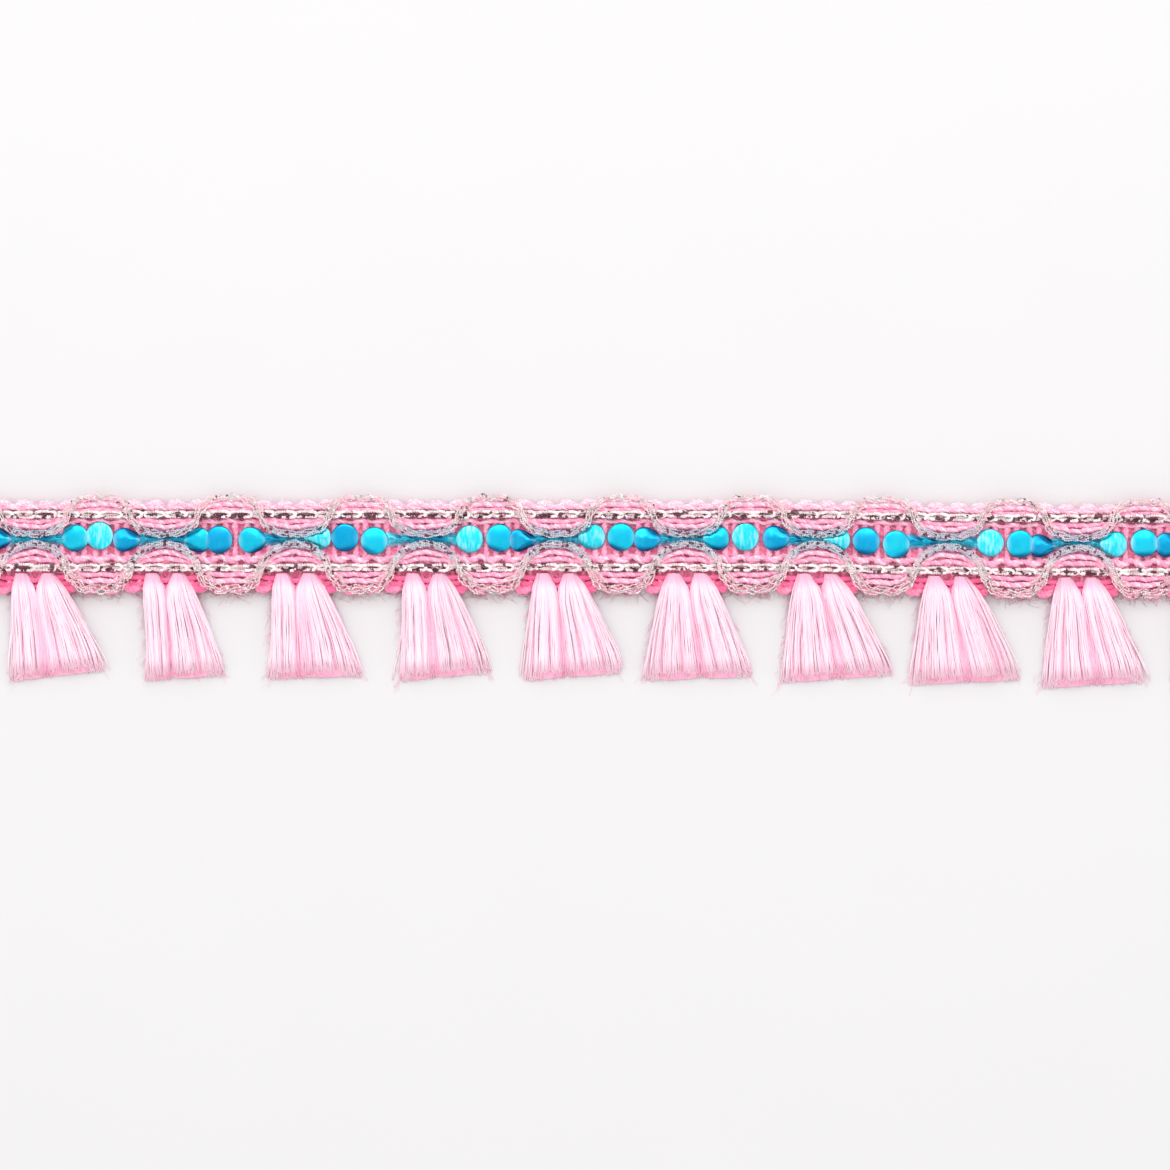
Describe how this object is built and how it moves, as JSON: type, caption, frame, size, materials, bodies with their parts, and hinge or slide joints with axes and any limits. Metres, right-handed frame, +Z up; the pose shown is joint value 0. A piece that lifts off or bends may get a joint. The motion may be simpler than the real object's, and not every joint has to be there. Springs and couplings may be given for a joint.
{
  "type": "sequinned tassel fringe trim",
  "caption": "Flat crocheted braid with scalloped edges, a middle row of sequins, wavy silver cords and short yarn tassels along one edge.",
  "frame": {"origin": "underside of the braid, on its middle line between the two chain rows, halfway along the length", "axes": "+X along the trim, +Y across the braid away from the tassels, +Z up out of its face"},
  "size_m": [0.2, 0.0298, 0.0039],
  "materials": {
    "pink_yarn": "matte crocheted synthetic yarn, mid pink",
    "tassel_yarn": "soft, slightly silky cut yarn, pale pink, deeper pink in the gaps and at the cut ends",
    "silver_yarn": "glittering silver metallic yarn",
    "sequin_film": "glossy metallic film, turquoise to deep azure"
  },
  "bodies": {
    "root": {"heading_ground": "pink_yarn", "chain_upper": "silver_yarn", "chain_lower": "silver_yarn", "sequin_strip": "sequin_film", "silver_cord_upper": "silver_yarn", "silver_cord_lower": "silver_yarn", "tassel_01_left": "tassel_yarn", "tassel_01_right": "tassel_yarn", "tassel_02_left": "tassel_yarn", "tassel_02_right": "tassel_yarn", "tassel_03_left": "tassel_yarn", "tassel_03_right": "tassel_yarn", "tassel_04_left": "tassel_yarn", "tassel_04_right": "tassel_yarn", "tassel_05_left": "tassel_yarn", "tassel_05_right": "tassel_yarn", "tassel_06_left": "tassel_yarn", "tassel_06_right": "tassel_yarn", "tassel_07_left": "tassel_yarn", "tassel_07_right": "tassel_yarn", "tassel_08_left": "tassel_yarn", "tassel_08_right": "tassel_yarn", "tassel_09_left": "tassel_yarn", "tassel_09_right": "tassel_yarn", "tassel_10_left": "tassel_yarn", "tassel_10_right": "tassel_yarn"}
  },
  "joints": []
}
